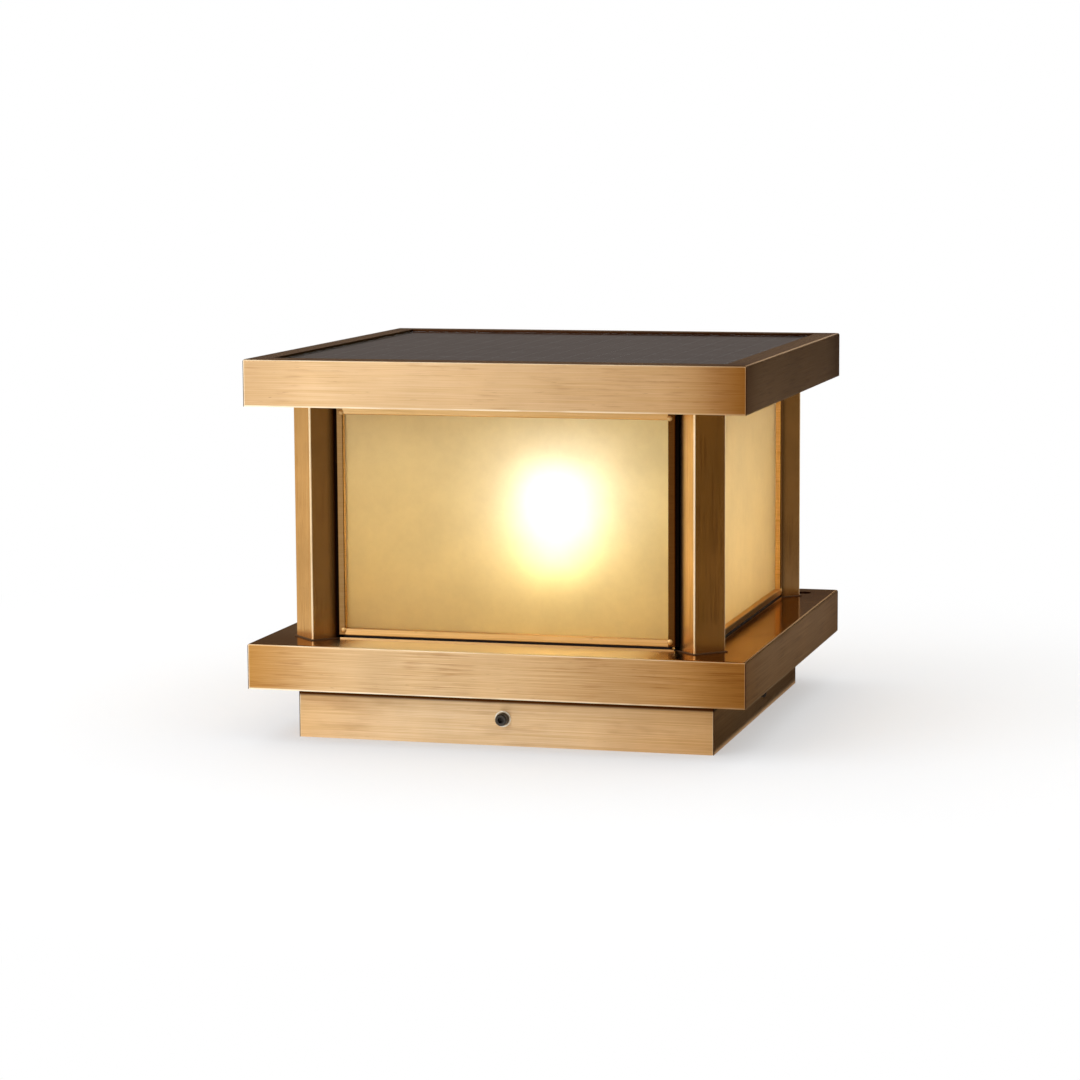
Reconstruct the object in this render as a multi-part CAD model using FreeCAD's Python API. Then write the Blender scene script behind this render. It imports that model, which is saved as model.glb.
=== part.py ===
"""Square brass deck post cap light with a solar lid, frosted panes and a screw-in globe bulb.

Millimetres, +Z up, front towards -Y.  The origin is the middle of the footprint, on the post's top.
"""
import FreeCAD
import Part
import math
import os

from FreeCAD import Vector

# ---- driving dimensions -------------------------------------------------------------------
lamp_side = 250.0          # lid and tray, outside
body_gap = 117.0           # tray's top to the lid's lower edge
tray_height = 22.6
collar_height = 26.6       # part of the collar that shows under the tray
collar_inset = 19.65       # tray's face to the collar's face
sheet = 1.2                # brass sheet of lid, tray and ceiling
collar_wall = 1.5
bend_radius = 1.2          # outside radius of the folded edges
seam_width = 0.3           # open line where two folded skirts meet
seam_depth = 0.5
weep_radius = 4.25
weep_inset = 16.0          # tray's face to the weep hole's middle

post_side = 18.0           # square tube, turned by 45 degrees
post_wall = 1.2
post_corner = 0.8
post_inset = 28.4          # tray's face to the post's middle
rod_radius = 2.0           # M4 tie rod inside each post
rod_hole = 2.2
rod_spare = 2.0            # thread past each nut
nut_flats = 7.0
nut_height = 3.2
nut_turning = 0.6          # share of a nut's corners that is turned off
washer_radius = 4.5
washer_height = 0.8

frame_face = 23.5          # tray's face to the pane frame's front
frame_bar = 3.4            # bar's width, seen from the front
frame_bar_depth = 3.0      # bar's front to the groove that the glass sits in
frame_skin = 0.6           # walls round the groove
frame_bevel = 0.35
frame_post_gap = 0.4       # frame's edge to the post, measured along the frame
gasket_low = 2.15
gasket_inset = 0.6         # frame's front to the gasket; the sill strip fills it at the foot
sill_height = 0.95
glass_thickness = 2.5
glass_gap = 0.1            # glass to the bar, all round

lid_clearance = 0.25       # lid's lower edge to the ceiling's underside
ceiling_gap = 2.3          # ceiling's rim to the lid's skirt
ceiling_rim = 6.0
ceiling_ledge = 63.0       # tray's face to the edge of the access opening
access_corner = 6.0

cell_radius = 7.0          # rechargeable cell, 14 mm by 50 mm
cell_length = 50.0
cell_gap = 1.2             # one cell to the other
cell_round = 0.6
terminal_radius = 2.7
terminal_height = 1.5
cell_rest = 0.2            # cell to the holder's floor
cell_headroom = 1.75       # cell to the panel's back
holder_floor = 0.8
holder_wall = 1.2
holder_side = 9.0
holder_room = 0.3          # cell to the holder's side wall
end_wall_share = 0.8       # end walls reach this share of a cell's radius above its middle
battery_edge = 7.6         # access opening to the battery holder
contact_thickness = 0.5
contact_width = 10.0
contact_rise = 4.0         # cell's middle to the contact's top
contact_bump = 2.8
contact_air = 0.1          # bump to the cell and into the strip
contact_room = 2.4         # cell's end to the holder's end wall

panel_glass = 2.5
panel_cell = 0.3
panel_back = 1.2
glass_arris = 0.4
panel_recess = 1.0         # rim's top to the glass
rim_width = 11.7           # lid's face to the panel opening
panel_gap = 0.6            # glass to the opening
strip_count = 6
strip_gap = 1.2
panel_border = 2.0
seal_gap = 0.2
seal_width = 2.1
carrier_sheet = 0.8
carrier_floor = 1.0
carrier_ledge = 14.0       # seal's outer face to the carrier's inner edge

bracket_sheet = 1.2
bracket_width = 14.0
bracket_foot = 13.0
bracket_spacing = 73.2
bracket_gap = 0.3          # panel carrier to the bracket's web
bracket_skirt_gap = 1.0
lid_screw_radius = 1.5     # M3, countersunk flush with the rim
lid_screw_length = 8.0
lid_screw_head = 2.6
lid_screw_slot = 0.6       # depth of the crossed recess
lid_screw_offset = 2.3     # bracket's web to the screw's middle
thread_fit = 0.1           # lid screw to the bracket's thread

set_screw_radius = 2.95    # M6 socket set screw
set_screw_length = 16.0
set_screw_proud = 4.4
set_screw_socket = 3.0
set_screw_chamfer = 0.5
set_screw_fit = 0.08
weld_nut_flats = 10.0
weld_nut_height = 5.0
screw_height = 13.4        # above the post's top

plate_sheet = 2.0
plate_inset = 13.75        # ear's face to the plate's straight edge
plate_bend = 2.5
plate_corner = 8.0
ear_width = 40.0
ear_below_tray = 4.6
anchor_edge = 20.0
anchor_radius = 4.5
wire_hole = 20.0

socket_radius = 20.0       # E27 lamp holder
socket_top = 24.75         # above the tray's top
socket_below = 13.25       # below the tray's top
socket_floor = 8.0
socket_bore = 15.0
socket_step = 4.0          # lower part is thinner by this
socket_shoulder = 3.0      # tray's underside to the step
socket_round = 1.5
shell_thickness = 1.2
shell_gap = 0.1
shell_floor = 2.0
shell_drop = 3.0           # holder's top to the shell's edge
shell_seat = 4.0           # bulb's thread to the hole in the shell's floor
tongue_start = 3.0         # lamp's middle to the contact's riser
tongue_foot = 8.5
tongue_half = 2.2
tongue_sheet = 0.6
tray_socket_gap = 0.5
socket_seal_width = 6.0
socket_seal_height = 2.0
socket_seal_round = 0.8
seal_fit = 0.1
strap_sheet = 1.2
strap_width = 16.0
strap_half = 32.0
strap_foot = 12.0
strap_lead_gap = 1.5
strap_screw_reach = 11.0   # lamp's middle to the screws in the holder
strap_screw_radius = 1.8
strap_screw_head = 3.4
strap_screw_head_height = 2.2
strap_screw_grip = 5.0
strap_screw_room = 1.0     # screw's end to the bottom of its hole
strap_screw_fit = 0.1
tray_screw_head = 3.8
tray_screw_head_height = 2.4
head_round = 0.6           # pan heads: rounding and recess depth, as shares of the head's height
recess_reach = 0.62        # crossed recess, as shares of the head's radius
recess_half = 0.13

globe_radius = 22.5
globe_wall = 1.2
globe_centre = 55.25       # above the tray's top
globe_cut = 16.0           # globe's middle down to its open neck
bulb_foot = -0.75          # bulb's tip to the tray's top
thread_radius = 13.2
thread_pitch = 3.6
thread_turns = 6
thread_depth = 0.7
bulb_gap = 0.3             # bulb's tip to the spring contact
tip_radius = 4.5
tip_height = 1.4
shell_rise = 4.0           # bulb's tip to the lower end of its screw shell
shell_lip = 1.4
board_rim = 1.9            # wall of the bulb's housing round its light board
board_recess = 3.5
board_fit = 0.2
light_board = 1.2
light_count = 8
light_circle = 8.0
light_side = 2.8
light_height = 0.7
housing_lip = 0.3          # housing past the thread, at its lower edge
housing_collar = 1.0
housing_step = 2.5
insulator_inset = 2.2
tip_chamfer = 0.6

board_width = 40.0
board_length = 64.0
board_thickness = 1.6
board_standoff = 2.0
board_edge = 12.0          # access opening to the board
board_hole = 1.4
board_hole_inset = 3.5
board_screw_radius = 1.25
board_screw_head = 2.3
board_screw_head_height = 1.2
board_screw_short = 0.2    # screw's end above the ceiling
spacer_radius = 2.8
block_depth = 8.0
block_height = 7.2
block_past_lamp_lead = 4.5
block_past_switch_lead = 4.0
coil = (4.8, 5.5, 11.0, 13.0)              # radius, height, x and y from the board's middle
large_capacitor = (3.2, 7.5, 12.0, -13.0)
small_capacitor = (2.5, 6.5, 5.0, -15.0)
charge_chip = (9.0, 10.0, 1.6, 9.5, -1.0)  # x, y and z sizes, x and y of its middle
timer_chip = (6.0, 6.0, 1.4, -11.0, 13.0)
lead_height = 6.3          # leads' middle above the ceiling
lamp_lead_radius = 1.75
battery_lead_radius = 1.5
switch_lead_radius = 1.2
lamp_lead_offset = 7.0     # rod's middle to the lead's middle, inside the post
lamp_lead_drop = 12.0      # holder's bottom to the lead's run under the tray
lamp_lead_bends = (6.0, 14.0, 9.0)
lamp_lead_end = 2.0        # lead's end below the holder's bore
lamp_lead_fit = 0.15
battery_lead_bend = 20.0
switch_lead_bend = 12.0
switch_lead_offset = 8.0   # board's middle to the switch lead
lead_hole_gap = 0.5
clip_wall = 1.4
clip_width = 5.0
clip_fit = 0.1
clip_share = 0.6           # outer clips, as a share of the access opening's half width

plug_width = 8.0
plug_length = 14.0
plug_edge = 1.0            # panel carrier to the plug
socket_block = 8.0
pin_radius = 0.9
pin_fit = 0.1
pin_length = 5.0
pin_room = 0.4             # pin's end to the bottom of its hole
pin_spacing = 7.0
dock_gap = 0.4             # panel plug to the socket under it

switch_gap = 9.4           # lid bracket to the switch
switch_size = 14.0
switch_depth = 12.0
switch_height = 10.0
neck_radius = 5.0
neck_length = 3.0
switch_nut_flats = 13.0
switch_nut_height = 2.0
button_radius = 3.2
button_fit = 0.08
button_proud = 2.6
button_travel = 2.0
button_room = 0.5          # pressed button to the switch's roof
button_round = 0.9
switch_roof = 2.5

past = 1.0                 # how far a cut runs past the face it opens
same = 1e-6                # two levels this close are one

# ---- levels and half widths worked out from them -------------------------------------------
half = lamp_side / 2
collar_half = half - collar_inset
tray_top = collar_height + tray_height
tray_under = tray_top - sheet
lid_low = tray_top + body_gap
ceiling_low = lid_low + lid_clearance
ceiling_top = ceiling_low + sheet
cell_middle = ceiling_top + holder_floor + cell_rest + cell_radius
panel_low = cell_middle + cell_radius + cell_headroom
cells_low = panel_low + panel_back
glass_low = cells_low + panel_cell
lid_top = glass_low + panel_glass + panel_recess
rim_under = lid_top - sheet
post_middle = half - post_inset
post_reach = post_side / math.sqrt(2)
frame_front = half - frame_face
groove_front = frame_front - frame_bar_depth
groove_back = groove_front - glass_thickness - 2 * glass_gap
frame_back = groove_back - frame_skin
frame_low = tray_top + gasket_low
frame_top = ceiling_low - (gasket_low - lid_clearance)
frame_half = groove_front - post_reach - frame_post_gap
groove_half = post_middle - post_reach - frame_post_gap
ceiling_half = half - sheet - ceiling_gap
access_half = half - ceiling_ledge
opening_half = half - rim_width
panel_half = opening_half - panel_gap
seal_inner = panel_half + seal_gap
seal_outer = seal_inner + seal_width
carrier_outer = seal_outer + carrier_sheet
carrier_inner = seal_outer - carrier_ledge
carrier_low = panel_low - carrier_floor
web_inner = carrier_outer + bracket_gap
screw_line = web_inner + bracket_sheet + lid_screw_offset
ear_face = collar_half + set_screw_proud - set_screw_length
plate_half = ear_face - plate_inset
ear_top = collar_height - ear_below_tray
anchor_middle = plate_half - anchor_edge
socket_low = tray_top - socket_below
socket_high = tray_top + socket_top
bore_low = socket_low + socket_floor
strap_low = socket_low - strap_sheet
tip_low = tray_top + bulb_foot
globe_middle = tray_top + globe_centre
neck_level = globe_middle - globe_cut
neck_radius_outer = math.sqrt(globe_radius ** 2 - globe_cut ** 2)
shell_low = tip_low + shell_rise
shell_top = shell_low + thread_turns * thread_pitch + shell_lip
cell_pitch = 2 * cell_radius + cell_gap
holder_half = cell_pitch / 2 + cell_radius + holder_room
battery_x = access_half + battery_edge + holder_wall + holder_half
board_x = -(access_half + board_edge + board_width / 2)
board_low = ceiling_top + board_standoff
board_top = board_low + board_thickness
lead_level = ceiling_top + lead_height
lead_run = (access_half + web_inner - bracket_foot) / 2
battery_half = cell_length / 2 + contact_room + holder_wall
block_outer = board_length / 2
lamp_lead_x = -post_middle
lamp_lead_y = post_middle - lamp_lead_offset
switch_lead_x = board_x + switch_lead_offset
switch_x = -(bracket_spacing + bracket_width + switch_size) / 2 - switch_gap
plug_x = plug_width / 2 + plug_edge - carrier_inner
switch_y = (frame_front + ceiling_half - sheet) / 2

SIDES = ["front", "right", "rear", "left"]
CORNERS = {"front_left": (-1, -1), "front_right": (1, -1), "rear_right": (1, 1), "rear_left": (-1, 1)}


# ---- plain shapes --------------------------------------------------------------------------
def block(x0, x1, y0, y1, z0, z1):
    """A box between two corners."""
    return Part.makeBox(x1 - x0, y1 - y0, z1 - z0, Vector(x0, y0, z0))


def rod(radius, z0, z1, x=0.0, y=0.0):
    """An upright round bar."""
    return Part.makeCylinder(radius, z1 - z0, Vector(x, y, z0))


def tube(outer, inner, z0, z1, x=0.0, y=0.0):
    """An upright round tube or washer."""
    return rod(outer, z0, z1, x, y).cut(rod(inner, z0 - past, z1 + past, x, y))


def square(outer, z0, z1):
    """A square slab about the middle, given by its half width."""
    return block(-outer, outer, -outer, outer, z0, z1)


def hexagon(flats, z0, z1, x=0.0, y=0.0):
    """An upright hexagonal bar, given across its flats."""
    radius = flats / math.sqrt(3)
    corners = []
    for corner in range(7):
        angle = math.radians(60 * corner)
        corners.append(Vector(x + radius * math.cos(angle), y + radius * math.sin(angle), z0))
    return Part.Face(Part.makePolygon(corners)).extrude(Vector(0, 0, z1 - z0))


def nut(flats, bore, z0, z1, x=0.0, y=0.0):
    """A hexagonal nut with its upper and lower corners turned off."""
    bar = hexagon(flats, z0, z1, x, y)
    radius = flats / math.sqrt(3)
    turned = rod(radius, z0, z1, x, y)
    turned = turned.makeChamfer((radius - flats / 2) * nut_turning, rims(turned))
    return bar.common(turned).cut(rod(bore, z0 - past, z1 + past, x, y))


def spun(points, arcs=()):
    """A solid of revolution about Z from (radius, z) points; arcs names the corners passed as mid-points."""
    edges = []
    index = 0
    count = len(points)
    while index < count:
        here = Vector(points[index][0], 0, points[index][1])
        after = points[(index + 1) % count]
        if (index + 1) % count in arcs:
            beyond = points[(index + 2) % count]
            middle = Vector(after[0], 0, after[1])
            edges.append(Part.Arc(here, middle, Vector(beyond[0], 0, beyond[1])).toShape())
            index += 2
        else:
            edges.append(Part.LineSegment(here, Vector(after[0], 0, after[1])).toShape())
            index += 1
    face = Part.Face(Part.Wire(edges))
    return face.revolve(Vector(0, 0, 0), Vector(0, 0, 1), 360)


def uprights(shape):
    """The shape's upright edges."""
    return [edge for edge in shape.Edges if abs(edge.Vertexes[0].Z - edge.Vertexes[-1].Z) > past]


def edges_at(shape, z):
    """The shape's edges that lie at one level."""
    return [edge for edge in shape.Edges if all(abs(point.Z - z) < same for point in edge.Vertexes)]


def front_edges(shape, y):
    """The shape's edges that lie in its front face."""
    return [edge for edge in shape.Edges if all(abs(point.Y + y) < same for point in edge.Vertexes)]


def rims(shape):
    """The full circles among the shape's edges."""
    return [edge for edge in shape.Edges if len(edge.Vertexes) == 1]


def rims_at(shape, z):
    """The full circles that lie at one level."""
    return [edge for edge in rims(shape) if abs(edge.Vertexes[0].Z - z) < same]


def span(first, second, y0, y1, z0, z1):
    """A box between two x values given in either order."""
    return block(min(first, second), max(first, second), y0, y1, z0, z1)


def turn(shape, quarters):
    """A copy turned about the lamp's middle by so many quarters: front, right, rear, left."""
    copy = shape.copy()
    copy.rotate(Vector(0, 0, 0), Vector(0, 0, 1), 90 * quarters)
    return copy


def facing_front(shape, height):
    """Lays an upright shape down: its height becomes the distance out from the middle, towards the front."""
    copy = shape.copy()
    copy.rotate(Vector(0, 0, 0), Vector(1, 0, 0), 90)
    copy.translate(Vector(0, 0, height))
    return copy


def lead(points, bends, radius):
    """A round lead of straight runs joined by tangent arcs, one bend radius for each inner point."""
    edges = []
    start = points[0]
    for index, bend in enumerate(bends, 1):
        corner = points[index]
        before = (corner - points[index - 1]).normalize()
        after = (points[index + 1] - corner).normalize()
        half_turn = before.getAngle(after) / 2
        reach = bend * math.tan(half_turn)
        inward = (after - before).normalize()
        enter = corner - before * reach
        leave = corner + after * reach
        middle = corner + inward * (bend / math.cos(half_turn) - bend)
        edges.append(Part.LineSegment(start, enter).toShape())
        edges.append(Part.Arc(enter, middle, leave).toShape())
        start = leave
    edges.append(Part.LineSegment(start, points[-1]).toShape())
    spine = Part.Wire(edges)
    direction = points[1] - points[0]
    ring = Part.Wire(Part.makeCircle(radius, points[0], direction))
    pipe = Part.BRepOffsetAPI.MakePipeShell(spine)
    pipe.add(ring)
    pipe.build()
    pipe.makeSolid()
    solid = pipe.shape()
    ratio = solid.Volume / (math.pi * radius ** 2 * spine.Length)
    print("lead: length %.1f mm, bends %s, volume ratio %.4f" % (spine.Length, bends, ratio))
    return solid


def folded_pan(outer, z0, z1):
    """A sheet folded down on four sides, with a rounded upper edge and an open seam at each corner."""
    body = square(outer, z0, z1)
    body = body.makeFillet(bend_radius, edges_at(body, z1))
    body = body.cut(square(outer - sheet, z0 - past, z1 - sheet))
    for across in (-1, 1):
        for along in (-1, 1):
            seam_y = along * (outer - sheet)
            seam_x = across * outer
            body = body.cut(block(seam_x - seam_depth, seam_x + seam_depth, seam_y - seam_width / 2,
                                  seam_y + seam_width / 2, z0 - past, z1 - bend_radius))
    return body


# ---- mounting plate, collar and set screws --------------------------------------------------
def mounting_plate():
    """Steel plate bolted on the post, with four upturned ears that the set screws press on."""
    plate = square(plate_half, 0, plate_sheet)
    plate = plate.makeFillet(plate_corner, uprights(plate))
    for quarter in range(4):
        tab = block(-ear_width / 2, ear_width / 2, -ear_face, -plate_half + plate_corner, 0, ear_top)
        hollow = block(-ear_width, ear_width, -ear_face + plate_sheet, -plate_half + 2 * plate_corner,
                       plate_sheet, ear_top + past)
        outside = [edge for edge in front_edges(tab, ear_face) if abs(edge.CenterOfMass.z) < same]
        tab = tab.makeFillet(plate_bend, outside).cut(hollow)
        plate = plate.fuse(turn(tab, quarter))
    for x in (-anchor_middle, anchor_middle):
        for y in (-anchor_middle, anchor_middle):
            plate = plate.cut(rod(anchor_radius, -past, plate_sheet + past, x, y))
    return plate.cut(rod(wire_hole, -past, plate_sheet + past)).removeSplitter()


def collar():
    """Square brass skirt that drops over the mounting plate and carries the tray."""
    ring = square(collar_half, 0, tray_under)
    ring = ring.cut(square(collar_half - collar_wall, -past, tray_under + past))
    for across in (-1, 1):
        for along in (-1, 1):
            seam_y = along * (collar_half - collar_wall)
            seam_x = across * collar_half
            ring = ring.cut(block(seam_x - seam_depth, seam_x + seam_depth, seam_y - seam_width / 2,
                                  seam_y + seam_width / 2, -past, tray_under + past))
    hole = rod(set_screw_radius + set_screw_fit, collar_half - 2 * collar_wall, collar_half + past)
    for quarter in range(4):
        ring = ring.cut(turn(facing_front(hole, screw_height), quarter))
    return ring


def set_screw():
    """Socket set screw, drawn for the front side."""
    outer = ear_face + set_screw_length
    body = rod(set_screw_radius, ear_face, outer)
    body = body.makeChamfer(set_screw_chamfer, rims(body))
    body = body.cut(hexagon(set_screw_socket, outer - set_screw_socket, outer + past))
    return facing_front(body, screw_height)


def weld_nuts():
    """Nuts welded inside the collar, one behind each set screw."""
    inner = collar_half - collar_wall
    one = nut(weld_nut_flats, set_screw_radius + set_screw_fit, inner - weld_nut_height, inner)
    one = facing_front(one, screw_height)
    return [turn(one, quarter) for quarter in range(4)]


# ---- tray ------------------------------------------------------------------------------------
def tray():
    """Folded brass tray that the posts and panes stand on."""
    pan = folded_pan(half, collar_height, tray_top)
    low = tray_under - past
    high = tray_top + past
    for x, y in CORNERS.values():
        pan = pan.cut(rod(rod_hole, low, high, x * post_middle, y * post_middle))
    for x in (-1, 1):
        pan = pan.cut(rod(weep_radius, low, high, x * (half - weep_inset), half - weep_inset))
        pan = pan.cut(rod(rod_hole, low, high, x * (strap_half + strap_foot / 2), 0))
    pan = pan.cut(rod(lamp_lead_radius + lead_hole_gap, low, high, lamp_lead_x, lamp_lead_y))
    return pan.cut(rod(socket_radius + tray_socket_gap, low, high))


# ---- posts and tie rods ----------------------------------------------------------------------
def post(x, y):
    """Square brass tube turned by 45 degrees, from the tray to the ceiling."""
    reach = post_side / 2
    body = square(reach, tray_top, ceiling_low)
    body = body.makeFillet(post_corner, uprights(body))
    body = body.cut(square(reach - post_wall, tray_top - past, ceiling_low + past))
    body.rotate(Vector(0, 0, 0), Vector(0, 0, 1), 45)
    body.translate(Vector(x * post_middle, y * post_middle, 0))
    return body


def rod_places():
    """The middles of the four tie rods."""
    return [(x * post_middle, y * post_middle) for x, y in CORNERS.values()]


def tie_rods():
    """Threaded rods that clamp ceiling, posts and tray together."""
    stack = washer_height + nut_height + rod_spare
    return [rod(rod_radius, tray_under - stack, ceiling_top + stack, x, y) for x, y in rod_places()]


def tie_washers():
    """Plain washers under the tray and on the ceiling."""
    pieces = []
    for x, y in rod_places():
        pieces.append(tube(washer_radius, rod_hole, tray_under - washer_height, tray_under, x, y))
        pieces.append(tube(washer_radius, rod_hole, ceiling_top, ceiling_top + washer_height, x, y))
    return pieces


def tie_nuts():
    """Hexagonal nuts at both ends of the tie rods."""
    pieces = []
    low = tray_under - washer_height
    high = ceiling_top + washer_height
    for x, y in rod_places():
        pieces.append(nut(nut_flats, rod_radius, low - nut_height, low, x, y))
        pieces.append(nut(nut_flats, rod_radius, high, high + nut_height, x, y))
    return pieces


# ---- pane frames, glass and gaskets, drawn for the front side ----------------------------------
def pane_frame():
    """Four brass bars, mitred and soldered at the corners, with a groove for the glass behind them."""
    window = block(-frame_half + frame_bar, frame_half - frame_bar, -frame_front - past, -frame_back + past,
                   frame_low + frame_bar, frame_top - frame_bar)
    front = block(-frame_half, frame_half, -frame_front, -groove_front, frame_low, frame_top).cut(window)
    front = front.makeChamfer(frame_bevel, front_edges(front, frame_front))
    rear = block(-groove_half, groove_half, -groove_front, -frame_back, frame_low, frame_top).cut(window)
    groove = block(-groove_half + frame_skin, groove_half - frame_skin, -groove_front, -groove_back,
                   frame_low + frame_skin, frame_top - frame_skin)
    ring = front.fuse(rear).cut(groove)
    corners = [(-frame_half, frame_low), (frame_half, frame_low), (frame_half, frame_top),
               (-frame_half, frame_top)]
    inward = [(1, 1), (-1, 1), (-1, -1), (1, -1)]
    bars = []
    for index in range(4):
        following = (index + 1) % 4
        outline = []
        for corner, depth in ((index, 0), (following, 0), (following, frame_bar), (index, frame_bar),
                              (index, 0)):
            x = corners[corner][0] + inward[corner][0] * depth
            z = corners[corner][1] + inward[corner][1] * depth
            outline.append(Vector(x, -frame_front - past, z))
        depth = frame_front - frame_back + 2 * past
        wedge = Part.Face(Part.makePolygon(outline)).extrude(Vector(0, depth, 0))
        bars.append(ring.common(wedge).Solids[0])
    return bars


def glass_pane():
    """Frosted pane held in the grooves of its frame."""
    edge = frame_skin + glass_gap
    return block(-groove_half + edge, groove_half - edge, -groove_front + glass_gap, -groove_back - glass_gap,
                 frame_low + edge, frame_top - edge)


def gasket(z0, z1):
    """Black rubber strip above or below a pane frame, set back from its front."""
    return block(-groove_half + gasket_inset, groove_half - gasket_inset, -frame_front + gasket_inset,
                 -frame_back - gasket_inset, z0, z1)


def sill():
    """Thin brass strip along the foot of a gasket, flush with the frame's front."""
    return block(-frame_half + gasket_inset, frame_half - gasket_inset, -frame_front,
                 -frame_front + gasket_inset, tray_top, tray_top + sill_height)


# ---- ceiling and lid brackets ------------------------------------------------------------------
def bracket_places():
    """Left and right, front and rear places of the lid brackets."""
    return [(x * bracket_spacing / 2, quarter) for quarter in (0, 2) for x in (-1, 1)]


def ceiling_plate():
    """Brass sheet on the posts with an upturned rim and an opening to reach the bulb."""
    plate = square(ceiling_half, ceiling_low, ceiling_low + ceiling_rim)
    plate = plate.cut(square(ceiling_half - sheet, ceiling_top, ceiling_low + ceiling_rim + past))
    access = square(access_half, ceiling_low - past, ceiling_top + past)
    plate = plate.cut(access.makeFillet(access_corner, uprights(access)))
    low = ceiling_low - past
    high = ceiling_top + past
    for x, y in rod_places():
        plate = plate.cut(rod(rod_hole, low, high, x, y))
    plate = plate.cut(rod(lamp_lead_radius + lead_hole_gap, low, high, lamp_lead_x, lamp_lead_y))
    return plate.cut(rod(neck_radius + lead_hole_gap, low, high, switch_x, switch_y))


def lid_brackets():
    """Z-shaped strips that carry the lid's rim; the rear pair takes the lid screws."""
    pieces = []
    for x, quarter in bracket_places():
        left = x - bracket_width / 2
        right = x + bracket_width / 2
        web_outer = web_inner + bracket_sheet
        flange_outer = half - sheet - bracket_skirt_gap
        foot = block(left, right, -web_outer, -web_inner + bracket_foot, ceiling_top,
                     ceiling_top + bracket_sheet)
        web = block(left, right, -web_outer, -web_inner, ceiling_top, rim_under)
        flange = block(left, right, -flange_outer, -web_inner, rim_under - bracket_sheet, rim_under)
        strip = foot.fuse(web).fuse(flange).removeSplitter()
        if quarter == 2:
            strip = strip.cut(rod(lid_screw_radius + thread_fit, rim_under - bracket_sheet - past,
                                  rim_under + past, x, -screw_line))
        pieces.append(turn(strip, quarter))
    return pieces


# ---- lamp holder -------------------------------------------------------------------------------
def lamp_holder():
    """Porcelain body of the lamp holder, let into the tray from below."""
    foot = socket_radius - socket_step
    shoulder = tray_under - socket_shoulder
    body = spun([(0, socket_low), (foot, socket_low), (foot, shoulder), (socket_radius, shoulder),
                 (socket_radius, socket_high - socket_round), (socket_radius - socket_round, socket_high),
                 (0, socket_high)])
    body = body.cut(rod(socket_bore, bore_low, socket_high + past))
    for x in (-strap_screw_reach, strap_screw_reach):
        body = body.cut(rod(strap_screw_radius + strap_screw_fit, socket_low - past,
                            socket_low + strap_screw_grip + strap_screw_room, x, 0))
    return body.cut(rod(lamp_lead_radius + lamp_lead_fit, socket_low - past, bore_low + past))


def holder_shell():
    """Threaded brass shell inside the lamp holder."""
    outer = socket_bore - shell_gap
    floor_top = bore_low + shell_floor
    floor = tube(outer, thread_radius - shell_seat, bore_low, floor_top)
    wall = tube(outer, outer - shell_thickness, floor_top, socket_high - shell_drop)
    return wall.fuse(floor).removeSplitter()


def holder_contact():
    """Sprung brass tongue under the bulb's tip."""
    top = tip_low - bulb_gap
    riser_back = tongue_start + tongue_sheet
    strip = block(tongue_start, tongue_foot, -tongue_half, tongue_half, bore_low, bore_low + tongue_sheet)
    riser = block(tongue_start, riser_back, -tongue_half, tongue_half, bore_low, top)
    tongue = block(-tongue_start, riser_back, -tongue_half, tongue_half, top - tongue_sheet, top)
    return strip.fuse(riser).fuse(tongue).removeSplitter()


def holder_seal():
    """Rubber ring that keeps rain off the gap round the lamp holder."""
    top = tray_top + socket_seal_height
    ring = tube(socket_radius + socket_seal_width, socket_radius + seal_fit, tray_top, top)
    return ring.makeFillet(socket_seal_round, rims_at(ring, top))


def holder_strap():
    """Steel strap that hangs the lamp holder under the tray."""
    y = strap_width / 2
    pieces = [block(-strap_half, strap_half, -y, y, strap_low, socket_low)]
    for side in (-1, 1):
        inner = side * (strap_half - strap_sheet)
        outer = side * strap_half
        far = side * (strap_half + strap_foot)
        pieces.append(span(inner, outer, -y, y, strap_low, tray_under))
        pieces.append(span(inner, far, -y, y, tray_under - strap_sheet, tray_under))
    strap = pieces[0].multiFuse(pieces[1:]).removeSplitter()
    for x in (-strap_screw_reach, strap_screw_reach):
        strap = strap.cut(rod(rod_hole, strap_low - past, socket_low + past, x, 0))
    for x in (-1, 1):
        strap = strap.cut(rod(rod_hole, tray_under - strap_sheet - past, tray_under + past,
                              x * (strap_half + strap_foot / 2), 0))
    return strap.cut(rod(lamp_lead_radius + strap_lead_gap, strap_low - past, socket_low + past))


def crossed_recess(head, low, high):
    """Two crossed slots for a screwdriver, from low up to the head's top."""
    arm = head * recess_reach
    side = head * recess_half
    top = high + past
    return block(-arm, arm, -side, side, low, top).fuse(block(-side, side, -arm, arm, low, top))


def pan_screw(radius, head, head_height, length, x, y, seat, up):
    """Pan-head screw with a crossed recess; up is 1 when the head points up, -1 when down."""
    shank = rod(radius, -length, 0)
    cap = rod(head, 0, head_height)
    cap = cap.makeFillet(head_height * head_round, rims_at(cap, head_height))
    recess = crossed_recess(head, head_height * (1 - head_round), head_height)
    screw = shank.fuse(cap).removeSplitter().cut(recess)
    if up < 0:
        screw.rotate(Vector(0, 0, 0), Vector(1, 0, 0), 180)
    screw.translate(Vector(x, y, seat))
    return screw


def strap_screws():
    """Two screws into the lamp holder from below and two through the tray."""
    pieces = []
    for x in (-1, 1):
        pieces.append(pan_screw(strap_screw_radius, strap_screw_head, strap_screw_head_height,
                                strap_sheet + strap_screw_grip, x * strap_screw_reach, 0, strap_low, -1))
        pieces.append(pan_screw(rod_radius, tray_screw_head, tray_screw_head_height,
                                sheet + strap_sheet + rod_spare, x * (strap_half + strap_foot / 2), 0,
                                tray_top, 1))
    return pieces


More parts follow.
